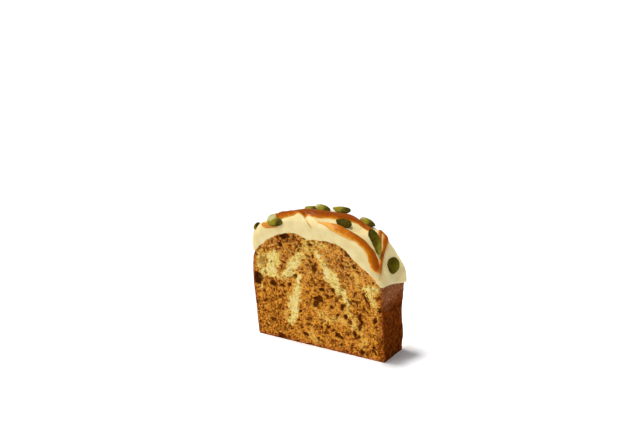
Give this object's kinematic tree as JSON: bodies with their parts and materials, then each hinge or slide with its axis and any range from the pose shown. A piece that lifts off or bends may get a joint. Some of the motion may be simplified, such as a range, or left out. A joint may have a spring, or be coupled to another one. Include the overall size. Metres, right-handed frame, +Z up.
{
  "type": "pumpkin bread slice",
  "caption": "Thick upright slice of pumpkin loaf with an open marbled crumb, pale cream icing over its dome, caramel ribbons and green pumpkin seeds.",
  "frame": {"origin": "middle of the slice's flat base, where it stands", "axes": "+X to the right along the front cut face, +Y from the front cut face to the back one, +Z up"},
  "size_m": [0.1085, 0.0355, 0.0972],
  "materials": {
    "crumb": "open baked crumb with a browned crust",
    "icing": "soft satin cream icing",
    "caramel": "glossy translucent caramel",
    "pumpkin_seed": "smooth satin green seed"
  },
  "bodies": {
    "root": {"crumb": "crumb", "frosting": "icing"}
  },
  "joints": []
}
